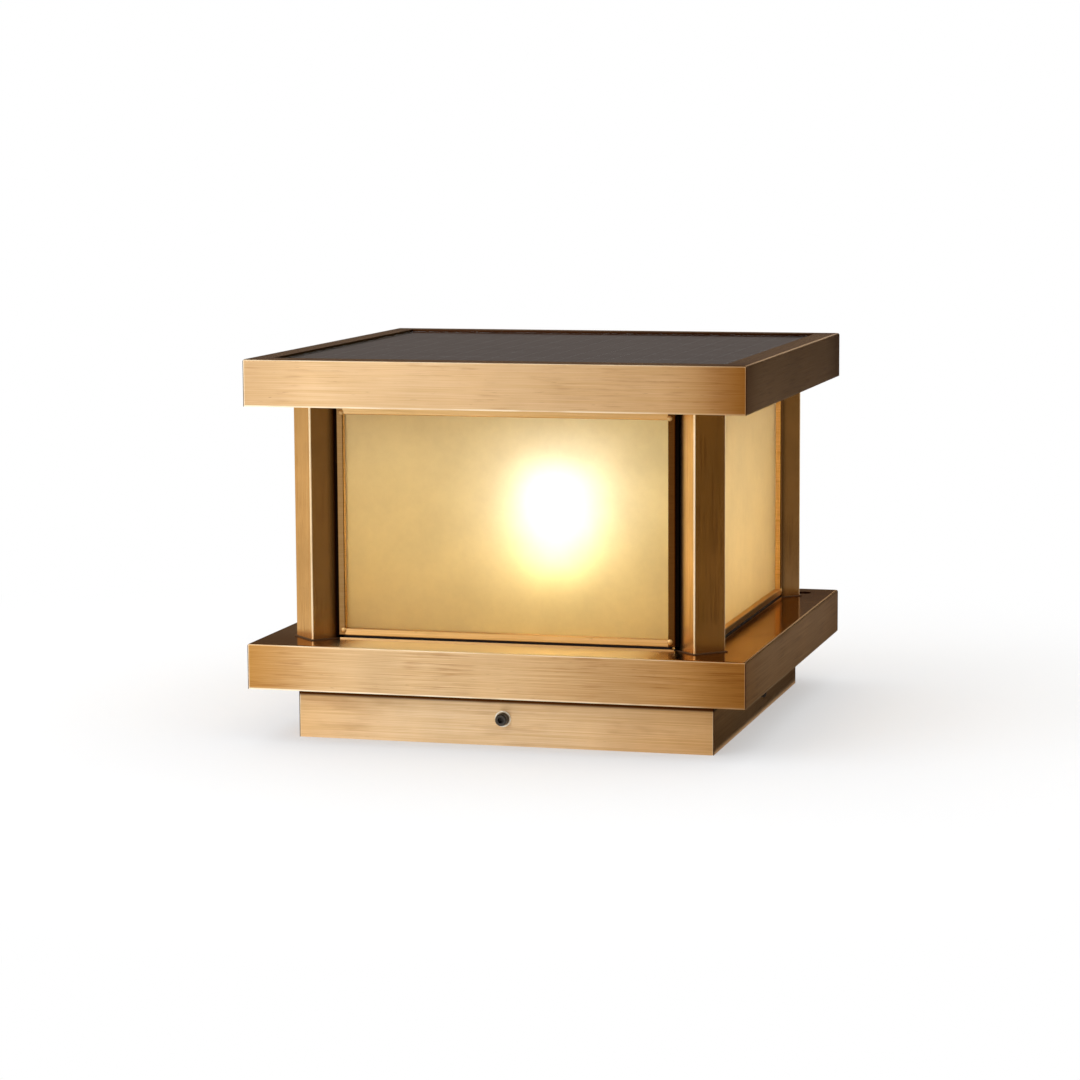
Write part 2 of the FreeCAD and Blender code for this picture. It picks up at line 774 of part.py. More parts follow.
# ---- bulb --------------------------------------------------------------------------------------
def bulb_globe():
    """Frosted globe, open at its neck."""
    inner = globe_radius - globe_wall
    neck_inner = math.sqrt(inner ** 2 - globe_cut ** 2)
    return spun([(neck_inner, neck_level), (neck_radius_outer, neck_level), (globe_radius, globe_middle),
                 (0, globe_middle + globe_radius), (0, globe_middle + inner), (inner, globe_middle)],
                arcs=(2, 5))


def bulb_housing():
    """Tapered white housing between the globe and the screw shell, with a recess for the lights."""
    wall = neck_radius_outer - board_rim
    return spun([(0, shell_top), (thread_radius + housing_lip, shell_top),
                 (thread_radius + housing_collar, shell_top + housing_step),
                 (neck_radius_outer, neck_level), (wall, neck_level), (wall, neck_level - board_recess),
                 (0, neck_level - board_recess)])


def bulb_screw_shell():
    """Nickel-plated screw shell, its thread drawn as rings."""
    root = thread_radius - thread_depth
    points = [(0, shell_low), (root, shell_low)]
    arcs = []
    for ring in range(thread_turns):
        low = shell_low + ring * thread_pitch
        arcs.append(len(points))
        points.append((thread_radius, low + thread_pitch / 2))
        points.append((root, low + thread_pitch))
    points += [(root, shell_top), (0, shell_top)]
    return spun(points, arcs)


def bulb_insulator():
    """Black glass between the screw shell and the tip."""
    return spun([(0, tip_low + tip_height), (tip_radius, tip_low + tip_height),
                 (thread_radius - insulator_inset, shell_low), (0, shell_low)])


def bulb_tip():
    """Soldered contact at the foot of the bulb."""
    tip = rod(tip_radius, tip_low, tip_low + tip_height)
    return tip.makeChamfer(tip_chamfer, rims_at(tip, tip_low))


def led_board():
    """Round light board inside the globe, with its lights in a ring."""
    low = neck_level - board_recess
    top = low + light_board
    board = rod(neck_radius_outer - board_rim - board_fit, low, top)
    side = light_side / 2
    for index in range(light_count):
        light = block(-side, side, light_circle - side, light_circle + side, top, top + light_height)
        light.rotate(Vector(0, 0, 0), Vector(0, 0, 1), 360 / light_count * index)
        board = board.fuse(light)
    return board.removeSplitter()


# ---- lid and solar panel -------------------------------------------------------------------------
def lid_shell():
    """Folded brass lid with a square opening for the panel."""
    shell = folded_pan(half, lid_low, lid_top)
    shell = shell.cut(square(opening_half, rim_under - past, lid_top + past))
    sink = countersink(lid_screw_radius + thread_fit, lid_screw_head + thread_fit, past)
    for x in (-1, 1):
        shell = shell.cut(sink.translated(Vector(x * bracket_spacing / 2, screw_line, lid_top)))
    return shell


def countersink(radius, head, above):
    """Shape of a countersunk screw, its head's face at z = 0 and carried on above it by so much."""
    return spun([(0, -lid_screw_length), (radius, -lid_screw_length), (radius, radius - head), (head, 0),
                 (head, above), (0, above)])


def lid_screws():
    """Two small countersunk screws, flush with the lid's rear rim."""
    flush = countersink(lid_screw_radius, lid_screw_head, lid_screw_slot)
    flush = flush.cut(rod(lid_screw_head + past, 0, lid_screw_slot + past))
    screw = flush.cut(crossed_recess(lid_screw_head, -lid_screw_slot, 0))
    return [screw.translated(Vector(x * bracket_spacing / 2, screw_line, lid_top)) for x in (-1, 1)]


def solar_glass():
    """Toughened cover glass with its upper edges arrised."""
    pane = square(panel_half, glass_low, glass_low + panel_glass)
    return pane.makeChamfer(glass_arris, edges_at(pane, glass_low + panel_glass))


def solar_cells():
    """Dark cell strips side by side, with bare backsheet showing between them."""
    reach = panel_half - panel_border
    width = (2 * reach - (strip_count - 1) * strip_gap) / strip_count
    strips = []
    for index in range(strip_count):
        start = -reach + index * (width + strip_gap)
        strips.append(block(-reach, reach, start, start + width, cells_low, glass_low))
    return strips


def solar_backsheet():
    """White board that the cells are laid on."""
    return square(panel_half, panel_low, cells_low)


def panel_seal():
    """Black rubber frame round the panel, under the lid's rim."""
    hollow = square(seal_inner, panel_low - past, rim_under + past)
    return square(seal_outer, panel_low, rim_under).cut(hollow)


def panel_carrier():
    """Shallow sheet frame that holds panel and seal up against the lid's rim."""
    frame = square(carrier_outer, carrier_low, rim_under).cut(square(seal_outer, panel_low, rim_under + past))
    return frame.cut(square(carrier_inner, carrier_low - past, panel_low + past))


def panel_plug():
    """Two-pin plug soldered under the panel; it meets its socket when the lid goes on."""
    low = board_top + socket_block + dock_gap
    body = block(plug_x - plug_width / 2, plug_x + plug_width / 2, -plug_length / 2, plug_length / 2,
                 low, panel_low)
    for y in (-1, 1):
        body = body.fuse(rod(pin_radius, low - pin_length, low + past, plug_x, y * pin_spacing / 2))
    return body.removeSplitter()


# ---- battery, controller and leads ---------------------------------------------------------------
def battery_holder():
    """Moulded tray for two cells side by side."""
    wide = holder_half
    low = ceiling_top
    base = block(battery_x - wide - holder_wall, battery_x + wide + holder_wall, -battery_half, battery_half,
                 low, low + holder_side)
    base = base.cut(block(battery_x - wide, battery_x + wide, -battery_half + holder_wall,
                          battery_half - holder_wall, low + holder_floor, low + holder_side + past))
    for end in (-1, 1):
        outer = end * battery_half
        inner = end * (battery_half - holder_wall)
        wall = block(battery_x - wide, battery_x + wide, min(outer, inner), max(outer, inner),
                     low + holder_floor, cell_middle + cell_radius * end_wall_share)
        base = base.fuse(wall)
    return base.removeSplitter()


def cell_places():
    """Middle of each cell and the end that its raised terminal faces."""
    return [(battery_x - cell_pitch / 2, 1), (battery_x + cell_pitch / 2, -1)]


def battery_cells():
    """Two rechargeable cells with raised terminals."""
    pieces = []
    for x, end in cell_places():
        body = rod(cell_radius, -cell_length / 2, cell_length / 2)
        body = body.makeFillet(cell_round, rims(body))
        body = body.fuse(rod(terminal_radius, cell_length / 2 - past, cell_length / 2 + terminal_height))
        body = facing_front(body.removeSplitter(), cell_middle)
        body = turn(body, 2) if end > 0 else body
        body.translate(Vector(x, 0, 0))
        pieces.append(body)
    return pieces


def battery_contacts():
    """Sprung strips at both ends of each cell."""
    pieces = []
    room = cell_length / 2 + contact_room
    for x, end in cell_places():
        for side in (-1, 1):
            outer = side * room
            inner = side * (room - contact_thickness)
            strip = block(x - contact_width / 2, x + contact_width / 2, min(outer, inner), max(outer, inner),
                          ceiling_top + holder_floor, cell_middle + contact_rise)
            if side != end:
                bump = rod(contact_bump, cell_length / 2 + contact_air, room - contact_air)
                bump = facing_front(bump, cell_middle)
                bump = turn(bump, 2) if side > 0 else bump
                bump.translate(Vector(x, 0, 0))
                strip = strip.fuse(bump).removeSplitter()
            pieces.append(strip)
    return pieces


def board_holes():
    """The board's four fixing places."""
    across = board_width / 2 - board_hole_inset
    along = board_length / 2 - board_hole_inset
    return [(board_x + x * across, y * along) for x in (-1, 1) for y in (-1, 1)]


def controller_board():
    """Circuit board that charges the cells and switches the bulb."""
    board = block(board_x - board_width / 2, board_x + board_width / 2, -board_length / 2, board_length / 2,
                  board_low, board_top)
    for x, y in board_holes():
        board = board.cut(rod(board_hole, board_low - past, board_top + past, x, y))
    return board


def board_fixings():
    """Spacers under the board and the screws that go through them."""
    pieces = []
    for x, y in board_holes():
        pieces.append(tube(spacer_radius, board_hole, ceiling_top, board_low, x, y))
        pieces.append(pan_screw(board_screw_radius, board_screw_head, board_screw_head_height,
                                board_thickness + board_standoff - board_screw_short, x, y, board_top, 1))
    return pieces


def controller_components():
    """Terminal blocks, panel socket, coil, capacitors and chips on the board."""
    pieces = []
    for side in (-1, 1):
        outer = side * block_outer
        inner = side * (block_outer - block_depth)
        pieces.append(block(min(lamp_lead_x, board_x) - block_past_lamp_lead,
                            max(switch_lead_x, board_x) + block_past_switch_lead, min(outer, inner),
                            max(outer, inner), board_top, board_top + block_height))
    socket = block(plug_x - plug_width / 2, plug_x + plug_width / 2, -plug_length / 2, plug_length / 2,
                   board_top, board_top + socket_block)
    for y in (-1, 1):
        socket = socket.cut(rod(pin_radius + pin_fit,
                                board_top + socket_block + dock_gap - pin_length - pin_room,
                                board_top + socket_block + past, plug_x, y * pin_spacing / 2))
    pieces.append(socket)
    for radius, height, x, y in (coil, large_capacitor, small_capacitor):
        pieces.append(rod(radius, board_top, board_top + height, board_x + x, y))
    for wide, deep, height, x, y in (charge_chip, timer_chip):
        pieces.append(block(board_x + x - wide / 2, board_x + x + wide / 2, y - deep / 2, y + deep / 2,
                            board_top, board_top + height))
    return pieces


def lamp_lead():
    """Lead from the controller, down inside the rear left post and up into the lamp holder."""
    run = socket_low - lamp_lead_drop
    points = [Vector(lamp_lead_x, block_outer, lead_level), Vector(lamp_lead_x, lamp_lead_y, lead_level),
              Vector(lamp_lead_x, lamp_lead_y, run), Vector(0, 0, run),
              Vector(0, 0, bore_low - lamp_lead_end)]
    return lead(points, lamp_lead_bends, lamp_lead_radius)


def control_leads():
    """Leads from the battery and from the switch to the controller."""
    battery = [Vector(battery_x, -battery_half, lead_level), Vector(battery_x, -lead_run, lead_level),
               Vector(board_x, -lead_run, lead_level), Vector(board_x, -block_outer, lead_level)]
    switch = [Vector(switch_x - switch_size / 2, switch_y, lead_level),
              Vector(switch_lead_x, switch_y, lead_level), Vector(switch_lead_x, block_outer, lead_level)]
    return [lead(battery, (battery_lead_bend, battery_lead_bend), battery_lead_radius),
            lead(switch, (switch_lead_bend,), switch_lead_radius)]


def lead_clips():
    """Small moulded clips that hold the leads above the ceiling."""
    pieces = []
    places = [(x * access_half * clip_share, -lead_run, 0, battery_lead_radius) for x in (-1, 0, 1)]
    places.append((lamp_lead_x, (block_outer + lamp_lead_y) / 2, 1, lamp_lead_radius))
    places.append((switch_lead_x, (block_outer + switch_y) / 2, 1, switch_lead_radius))
    for x, y, quarter, radius in places:
        wide = radius + clip_wall
        clip = block(-clip_width / 2, clip_width / 2, -wide, wide, ceiling_top, lead_level + wide)
        bore = Part.makeCylinder(radius + clip_fit, 2 * clip_width, Vector(-clip_width, 0, lead_level),
                                 Vector(1, 0, 0))
        clip = turn(clip.cut(bore), quarter)
        clip.translate(Vector(x, y, 0))
        pieces.append(clip)
    return pieces


# ---- power switch --------------------------------------------------------------------------------
def switch_body():
    """Push switch on the ceiling, its neck reaching down behind the lid's skirt."""
    body = block(switch_x - switch_size / 2, switch_x + switch_size / 2, switch_y - switch_depth / 2,
                 switch_y + switch_depth / 2, ceiling_top, ceiling_top + switch_height)
    body = body.fuse(rod(neck_radius, ceiling_low - neck_length, ceiling_top + past, switch_x, switch_y))
    room = rod(button_radius + button_fit, ceiling_low - neck_length - past,
               ceiling_top + switch_height - switch_roof, switch_x, switch_y)
    return body.removeSplitter().cut(room)


def switch_nut():
    """Flat nut that clamps the switch to the ceiling."""
    low = ceiling_low - switch_nut_height
    return nut(switch_nut_flats, neck_radius, low, ceiling_low, switch_x, switch_y)


def power_button():
    """Round push button with a softened lower edge."""
    low = ceiling_low - neck_length - button_proud
    high = ceiling_top + switch_height - switch_roof - button_travel - button_room
    button = rod(button_radius, low, high, switch_x, switch_y)
    return button.makeFillet(button_round, rims_at(button, low))


# ---- export --------------------------------------------------------------------------------------
def save(name, shapes):
    """Writes one node, a single solid or a group of separate ones."""
    group = shapes if isinstance(shapes, list) else [shapes]
    solids = [solid for shape in group for solid in shape.Solids]
    for solid in solids:
        if not solid.isValid() or solid.Volume <= 0:
            print("BAD SOLID in", name)
    whole = solids[0] if len(solids) == 1 else Part.makeCompound(solids)
    whole.exportStep("parts/" + name + ".step")
    print("%-22s solids %2d  volume %10.1f" % (name, len(solids), sum(solid.Volume for solid in solids)))


os.makedirs("parts", exist_ok=True)
save("mounting_plate", mounting_plate())
save("collar", collar())
save("weld_nuts", weld_nuts())
save("tray", tray())
for place, (across, along) in CORNERS.items():
    save("post_" + place, post(across, along))
save("tie_rods", tie_rods())
save("tie_washers", tie_washers())
save("tie_nuts", tie_nuts())
for quarter, side in enumerate(SIDES):
    save("set_screw_" + side, turn(set_screw(), quarter))
    save("pane_frame_" + side, [turn(bar, quarter) for bar in pane_frame()])
    save("glass_pane_" + side, turn(glass_pane(), quarter))
save("lower_gaskets", [turn(gasket(tray_top, frame_low), quarter) for quarter in range(4)])
save("upper_gaskets", [turn(gasket(frame_top, ceiling_low), quarter) for quarter in range(4)])
save("sill_strips", [turn(sill(), quarter) for quarter in range(4)])
save("ceiling_plate", ceiling_plate())
save("lid_brackets", lid_brackets())
save("lamp_holder", lamp_holder())
save("holder_shell", holder_shell())
save("holder_contact", holder_contact())
save("holder_seal", holder_seal())
save("holder_strap", holder_strap())
save("strap_screws", strap_screws())
save("bulb_globe", bulb_globe())
save("bulb_housing", bulb_housing())
save("bulb_screw_shell", bulb_screw_shell())
save("bulb_insulator", bulb_insulator())
save("bulb_tip", bulb_tip())
save("led_board", led_board())
save("lid_shell", lid_shell())
save("lid_screws", lid_screws())
save("solar_glass", solar_glass())
save("solar_cells", solar_cells())
save("solar_backsheet", solar_backsheet())
save("panel_seal", panel_seal())
save("panel_carrier", panel_carrier())
save("panel_plug", panel_plug())
save("battery_holder", battery_holder())
save("battery_cells", battery_cells())
save("battery_contacts", battery_contacts())
save("controller_board", controller_board())
save("board_fixings", board_fixings())
save("controller_components", controller_components())
save("lamp_lead", lamp_lead())
save("control_leads", control_leads())
save("lead_clips", lead_clips())
save("switch_body", switch_body())
save("switch_nut", switch_nut())
save("power_button", power_button())
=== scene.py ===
import math

import bmesh
import bpy
from mathutils import Matrix, Vector


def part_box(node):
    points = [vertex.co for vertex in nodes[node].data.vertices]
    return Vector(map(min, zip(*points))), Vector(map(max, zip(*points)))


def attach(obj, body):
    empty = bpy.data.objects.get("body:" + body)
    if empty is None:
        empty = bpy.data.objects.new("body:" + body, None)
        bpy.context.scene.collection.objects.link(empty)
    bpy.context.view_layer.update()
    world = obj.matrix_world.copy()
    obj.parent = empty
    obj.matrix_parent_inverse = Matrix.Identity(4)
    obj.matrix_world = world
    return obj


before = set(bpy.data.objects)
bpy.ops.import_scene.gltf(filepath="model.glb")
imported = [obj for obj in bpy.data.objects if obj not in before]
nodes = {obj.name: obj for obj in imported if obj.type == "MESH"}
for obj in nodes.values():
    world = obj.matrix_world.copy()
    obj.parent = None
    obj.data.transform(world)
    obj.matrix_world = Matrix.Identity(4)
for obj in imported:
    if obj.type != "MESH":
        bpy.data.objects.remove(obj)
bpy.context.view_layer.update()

MM = 0.001
lamp_half = 125        # mm from the middle to the faces of lid and tray
collar_half = 105.35   # the same for the collar
post_out = 96.6        # mm from the middle, along X and along Y, to the middle of a corner post


# ---- mounting plate ------------------------------------------------------------------------------
# The plate that is screwed down on the post first: pressed sheet steel with four ears, zinc plated.
# Plating gives a cool grey with faint crystal patches and a satin, slightly cloudy shine.
def colour(code):
    """An sRGB hex colour as the linear values that shaders take."""
    parts = [int(code[i:i + 2], 16) / 255 for i in (1, 3, 5)]
    return [c / 12.92 if c <= 0.04045 else ((c + 0.055) / 1.055) ** 2.4 for c in parts] + [1.0]


def add(tree, kind, links=None, **settings):
    """Adds one node: settings are its own values, links fill its sockets from values or other sockets."""
    item = tree.nodes.new("ShaderNode" + kind)
    for name, value in settings.items():
        setattr(item, name, value)
    for socket, value in (links or {}).items():
        if isinstance(value, bpy.types.NodeSocket):
            tree.links.new(value, item.inputs[socket])
        else:
            item.inputs[socket].default_value = value
    return item


def material(name):
    """An empty node material with its output node."""
    made = bpy.data.materials.new(name)
    made.use_nodes = True
    made.node_tree.nodes.clear()
    return made, made.node_tree, add(made.node_tree, "OutputMaterial")


def give(made, *names):
    """Puts one material on the CAD nodes named."""
    for name in names:
        nodes[name].data.materials.clear()
        nodes[name].data.materials.append(made)


def zinc_plate():
    made, tree, output = material("zinc_plated_steel")
    place = add(tree, "TexCoord").outputs["Object"]
    crystals = add(tree, "TexVoronoi", {"Vector": place, "Scale": 1 / (4 * MM)}, feature="F1")
    cloud = add(tree, "TexNoise", {"Vector": place, "Scale": 1 / (30 * MM), "Detail": 4.0})
    tint = add(tree, "Mix", {"Factor": cloud.outputs["Fac"], 6: colour("#8d9194"), 7: colour("#b4b8ba")},
               data_type="RGBA")
    rough = add(tree, "MapRange", {"Value": crystals.outputs["Distance"], "To Min": 0.30, "To Max": 0.48})
    shine = add(tree, "BsdfPrincipled", {"Base Color": tint.outputs[2], "Metallic": 1.0,
                                         "Roughness": rough.outputs["Result"]})
    tree.links.new(shine.outputs[0], output.inputs["Surface"])
    return made


zinc = zinc_plate()
give(zinc, "mounting_plate", "weld_nuts", "tie_rods", "tie_washers", "tie_nuts", "lid_brackets",
     "holder_strap", "strap_screws", "board_fixings")


# ---- collar --------------------------------------------------------------------------------------
# The skirt round the plate: brass sheet, bent and seamed at its corners, brushed along its length and
# darkened to an antique finish.  Brushing leaves long hairlines, and age leaves pits and smears along the grain.
# Its brown ends are partly patina and partly painted shade, its bright edges are a painted highlight, and the
# dark band under the overhang is painted shade.
def aged_brass(name, grain, top_grain, polish=0.36, top_polish=0.15, drawn=0.95, warm="#e2be8e", deep="#d0a770",
               mottle=(0.93, 1.03), smears=0.3, smudge=(24, 24, 1.3), stain_and_shade="#bc9e65", browned=(0.0, 0.0),
               begins=82, rightward_shade=0.0, rim=None, shade_band=None, post=None, uprights=False, front_glow_and_dull=0.0):
    """Brushed antique brass, with every length in mm.

    grain, top_grain, smudge: streak sizes along X, Y and Z, on the sides, on the top and in the smears.
    polish, top_polish, drawn: roughness of the sides and the top, and how far brushing draws out a shine.
    warm, deep, mottle, smears: the metal's two tones, the range of its clouds, the strength of its smears.
    stain_and_shade, browned, begins, rightward_shade: brown of the ends, partly patina and partly painted shade,
    its share at the left and the right, where it begins, and a painted shade that grows to the right.
    rim: half width, lowest and highest level of the edges, which get a painted highlight.
    shade_band: levels between which a painted shade thickens upwards.
    post: how far out a corner post's middle is; its edges get a painted highlight and its corner beside the frame
    a painted shade.
    uprights: whether the bars at the sides get a painted shade, darker towards the right.  front_glow_and_dull:
    added roughness of the top's front strip, and the strength of a painted reflection of the lit panes on it.
    """
    made, tree, output = material(name)
    spot = add(tree, "TexCoord")
    place = spot.outputs["Object"]

    def streaks(size, detail):
        stretched = add(tree, "Mapping", {"Vector": place, "Scale": [1 / (mm * MM) for mm in size]})
        return add(tree, "TexNoise", {"Vector": stretched.outputs[0], "Scale": 1.0, "Detail": detail,
                                      "Roughness": 0.6}).outputs["Fac"]

    def laid(under, over, factor=1.0, blend="MIX"):
        """The colour over, laid by factor on the colour under."""
        over = colour(over) if isinstance(over, str) else over
        return add(tree, "Mix", {"Factor": factor, 6: under, 7: over}, data_type="RGBA",
                   blend_type=blend).outputs[2]

    def ramp(value, low, high, start=0.0, end=1.0, smooth=True):
        return add(tree, "MapRange", {"Value": value, "From Min": low, "From Max": high, "To Min": start,
                                      "To Max": end},
                   interpolation_type="SMOOTHSTEP" if smooth else "LINEAR").outputs[0]

    def maths(operation, first, second=0.0):
        return add(tree, "Math", {0: first, 1: second}, operation=operation).outputs[0]

    # Places: how far out and how high, and whether the face looks up or down.
    axes = add(tree, "SeparateXYZ", {0: place})
    rightward, height = axes.outputs["X"], axes.outputs["Z"]
    across = maths("ABSOLUTE", rightward)
    along = maths("ABSOLUTE", axes.outputs["Y"])
    corner = maths("MINIMUM", across, along)
    facing = add(tree, "SeparateXYZ", {0: spot.outputs["Normal"]})
    on_top = ramp(maths("ABSOLUTE", facing.outputs["Z"]), 0.6, 0.8, smooth=False)
    flank = maths("SUBTRACT", 1.0, on_top)

    # Hairlines, clouds, smears and pits.
    lines = add(tree, "Mix", {"Factor": on_top, 2: streaks(grain, 3.0), 3: streaks(top_grain, 3.0)},
                data_type="FLOAT").outputs[0]
    worn = ramp(lines, 0.28, 0.72, smooth=False)
    cloud = add(tree, "TexNoise", {"Vector": place, "Scale": 1 / (38 * MM), "Detail": 4.0, "Roughness": 0.55})
    shade = ramp(cloud.outputs["Fac"], 0.3, 0.7, *mottle, smooth=False)
    metal = laid(laid(colour(deep), warm, worn), shade, blend="MULTIPLY")
    patches = add(tree, "TexNoise", {"Vector": place, "Scale": 1 / (30 * MM), "Detail": 2.0}).outputs["Fac"]
    smudges = maths("MULTIPLY", ramp(patches, 0.42, 0.60), ramp(streaks(smudge, 3.0), 0.48, 0.68))
    metal = laid(metal, "#b08549", maths("MULTIPLY", smudges, smears), "MULTIPLY")
    pits = ramp(streaks([mm * 0.12 + 0.35 for mm in grain], 1.0), 0.74, 0.80, 0.0, 0.5)
    metal = laid(metal, "#8a5c2c", pits)

    # Brown ends, partly painted shade, and a painted highlight on the edges, weaker towards the right.
    # The brown ends are partly patina and partly painted shade; the darkening that grows to the right is painted
    # shade.
    ends = maths("MULTIPLY", ramp(corner, begins * MM, (lamp_half + 5) * MM),
                 ramp(rightward, -lamp_half * MM, lamp_half * MM, *browned, smooth=False))
    metal = laid(metal, stain_and_shade, maths("ADD", ends, ramp(rightward, 0.0, 80 * MM, 0.0, rightward_shade)), "MULTIPLY")
    edge = 0.0
    if rim:
        half, low, high = (mm * MM for mm in rim)
        away = maths("MINIMUM", maths("SUBTRACT", half, corner),
                     maths("MINIMUM", maths("SUBTRACT", height, low), maths("SUBTRACT", high, height)))
        edge = maths("MULTIPLY", ramp(away, 0.4 * MM, 0.9 * MM, 1.0, 0.0),
                     ramp(rightward, 60 * MM, 124 * MM, 1.0, 0.35))
        edge = maths("MULTIPLY", edge, flank)
    # Painted highlight on the post's edges, and painted shade in its corner beside the frame.
    if post:
        away = maths("MINIMUM", maths("ABSOLUTE", maths("SUBTRACT", across, post * MM)),
                     maths("ABSOLUTE", maths("SUBTRACT", along, post * MM)))
        edge = ramp(away, 0.25 * MM, 0.6 * MM, 0.8, 0.0)
        metal = laid(colour("#2a1406"), metal, ramp(corner, 86.8 * MM, 90.6 * MM))
    # Painted shade on the upright bars, darker towards the right.
    if uprights:
        bar_shade = laid(colour("#a99e92"), "#6a5338", ramp(rightward, -85 * MM, 85 * MM, smooth=False))
        metal = laid(metal, bar_shade, maths("GREATER_THAN", corner, 82 * MM), "MULTIPLY")
    # The painted highlight on the edges, patchy along them.
    metal = laid(metal, "#ffeccb", maths("MULTIPLY", edge, ramp(patches, 0.35, 0.55, 0.35, 0.85)))

    # Dark seams at the folded corners, painted shade on the inner sides, and a painted shade band below the
    # overhang.
    if rim:
        seam = maths("MULTIPLY", ramp(maths("SUBTRACT", half, corner), 0.25 * MM, 0.45 * MM, 1.0, 0.0), flank)
        metal = laid(metal, "#3a2010", seam)
        # Painted shade on the inner walls, as round the lid's opening.
        inner = maths("MULTIPLY", maths("LESS_THAN", maths("MAXIMUM", across, along), half - 3 * MM), flank)
        metal = laid(metal, "#4a3020", inner, "MULTIPLY")
    # A painted shade band, darker upwards towards the overhang.
    if shade_band:
        metal = laid(metal, "#5a3c20", ramp(height, *[mm * MM for mm in shade_band]), "MULTIPLY")

    # The top's front strip, duller and lightened with a painted reflection of the lit panes, then the shine
    # itself.
    strip_glow_and_dull = maths("MULTIPLY", ramp(axes.outputs["Y"], -99 * MM, -97 * MM, 1.0, 0.0),
                   ramp(corner, 66 * MM, 90 * MM, front_glow_and_dull, 0.0))
    metal = laid(metal, "#ffe6a6", maths("MULTIPLY", maths("MULTIPLY", strip_glow_and_dull, on_top), 2.5))
    smooth = add(tree, "Mix", {"Factor": on_top, 2: polish, 3: maths("ADD", strip_glow_and_dull, top_polish)},
                 data_type="FLOAT").outputs[0]
    rough = maths("ADD", smooth, ramp(worn, 0.0, 1.0, 0.03, -0.03, smooth=False))
    relief = add(tree, "Bump", {"Height": lines, "Strength": 0.2, "Distance": 0.01 * MM})
    across_grain = add(tree, "CombineXYZ", {"Y": on_top, "Z": flank})
    shine = add(tree, "BsdfPrincipled", {"Base Color": metal, "Metallic": 1.0, "Roughness": rough,
                                         "Anisotropic": drawn, "Tangent": across_grain.outputs[0],
                                         "Specular Tint": colour("#d9c8b4"), "Normal": relief.outputs[0]})
    tree.links.new(shine.outputs[0], output.inputs["Surface"])
    return made


side_grain, top_grain = (60, 60, 0.35), (60, 0.35, 60)
give(aged_brass("brushed_brass_collar", side_grain, top_grain, warm="#fbdab0", deep="#dfb67e", smears=0.25,
                smudge=(50, 50, 5), mottle=(0.90, 1.05), stain_and_shade="#ddbf81", browned=(0.6, 0.4), begins=30,
                rightward_shade=0.15, rim=(collar_half, -5, 60), shade_band=(20.4, 22.0)), "collar")
sheet_brass = aged_brass("brushed_brass_sheet", side_grain, top_grain)


# ---- set screws ----------------------------------------------------------------------------------
# M6 socket set screws through the collar, one on each side: turned steel, blackened in oil.
# Black oxide is nearly black with a dull shine, and a little brighter where a key has rubbed it.
def two_tones(name, dark, light, grain_mm, roughness, detail=3.0, relief=None, more=None):
    """A material of two tones, blended by noise of one grain size.

    roughness: one value, or a lowest and a highest that follow the grain.  relief: strength and depth in mm
    of the grain.  more: further values of the shader.
    """
    made, tree, output = material(name)
    place = add(tree, "TexCoord").outputs["Object"]
    grain = add(tree, "TexNoise", {"Vector": place, "Scale": 1 / (grain_mm * MM), "Detail": detail}).outputs["Fac"]
    tint = add(tree, "Mix", {"Factor": grain, 6: colour(dark), 7: colour(light)}, data_type="RGBA")
    if isinstance(roughness, tuple):
        roughness = add(tree, "MapRange", {"Value": grain, "To Min": roughness[0],
                                           "To Max": roughness[1]}).outputs[0]
    shine = add(tree, "BsdfPrincipled", {"Base Color": tint.outputs[2], "Roughness": roughness, **(more or {})})
    if relief:
        strength, depth = relief
        raised = add(tree, "Bump", {"Height": grain, "Strength": strength, "Distance": depth * MM})
        tree.links.new(raised.outputs[0], shine.inputs["Normal"])
    tree.links.new(shine.outputs[0], output.inputs["Surface"])
    return made


sides = ("front", "right", "rear", "left")
give(two_tones("black_oxide_steel", "#2a2725", "#5c5650", 1.5, (0.32, 0.50), more={"Metallic": 0.85}),
     *["set_screw_" + side for side in sides])


# ---- tray ----------------------------------------------------------------------------------------
# The lower of the two overhanging pans, folded from the same brass sheet.  Its flanks are brushed like
# the collar's, but its top is nearly polished, and mirrors the posts and the lit panes.
# Its top's front strip is lightened with a painted reflection of the lit panes.
give(aged_brass("brushed_brass_tray", side_grain, top_grain, warm="#ebc99c", deep="#c69a62", smears=0.35,
                smudge=(34, 34, 1.8), mottle=(0.90, 1.04), stain_and_shade="#d6ba86", browned=(1.0, 0.5), begins=62,
                rightward_shade=0.5, rim=(lamp_half, 26.6, 49.2), front_glow_and_dull=0.26), "tray")


# ---- corner posts --------------------------------------------------------------------------------
# Square brass tubes set corner outwards, drawn and brushed lengthwise, so their hairlines stand upright.
# Their edges carry a painted highlight, and their corners beside the frames a painted shade.
give(aged_brass("brushed_brass_post", (0.35, 0.35, 60), top_grain, polish=0.24, drawn=0.0, smears=0.3,
                smudge=(1.3, 1.3, 24), mottle=(0.86, 1.12), warm="#f2d09e", deep="#dfb67c", post=post_out),
     "post_front_left", "post_front_right", "post_rear_left", "post_rear_right")


# ---- gaskets and seals ---------------------------------------------------------------------------
# Black EPDM under and over the pane frames, round the lamp holder and on the button: matt moulded rubber,
# almost black, with a fine grain and a little dust.  Deeper black silicone seals the gap round the panel.
rubber = two_tones("black_rubber", "#0a0706", "#1e1712", 0.6, 0.75, relief=(0.3, 0.05),
                   more={"Specular IOR Level": 0.15})
silicone = two_tones("black_silicone", "#050302", "#1a0f09", 2, 0.9, detail=4.0, more={"Specular IOR Level": 0.0})
give(rubber, "lower_gaskets", "upper_gaskets", "holder_seal", "power_button")
give(silicone, "panel_seal")


